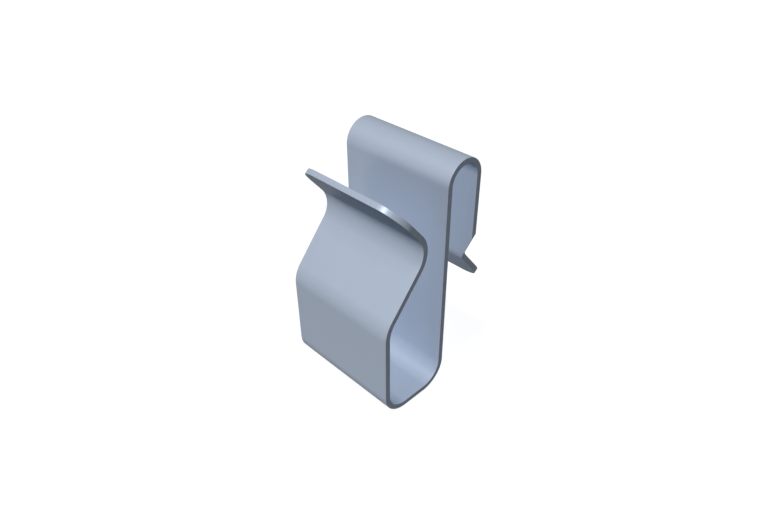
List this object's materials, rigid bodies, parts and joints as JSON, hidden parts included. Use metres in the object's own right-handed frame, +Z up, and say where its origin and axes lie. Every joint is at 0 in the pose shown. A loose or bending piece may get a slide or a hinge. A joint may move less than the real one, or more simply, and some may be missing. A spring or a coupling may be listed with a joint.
{
  "type": "wire retainer clip",
  "caption": "Spring-steel clip folded from a strip: a hairpin grips a panel edge, and an open trough with a flared lip and a narrow neck holds wires.",
  "frame": {"origin": "on the hairpin's bend axis, halfway across the strip's width and halfway across the gap that takes the panel's edge", "axes": "+X along the strip's width, which is the way the held wires run; the wire trough is on the -Y side and the tongue on the +Y side; +Z up, out of the hairpin's closed end"},
  "size_m": [0.0126, 0.0156, 0.0244],
  "materials": {
    "plated_spring_steel": "satin, blue-grey plating over rolled strip, with slightly darker sheared edges"
  },
  "bodies": {
    "root": {"clip": "plated_spring_steel"}
  },
  "joints": []
}
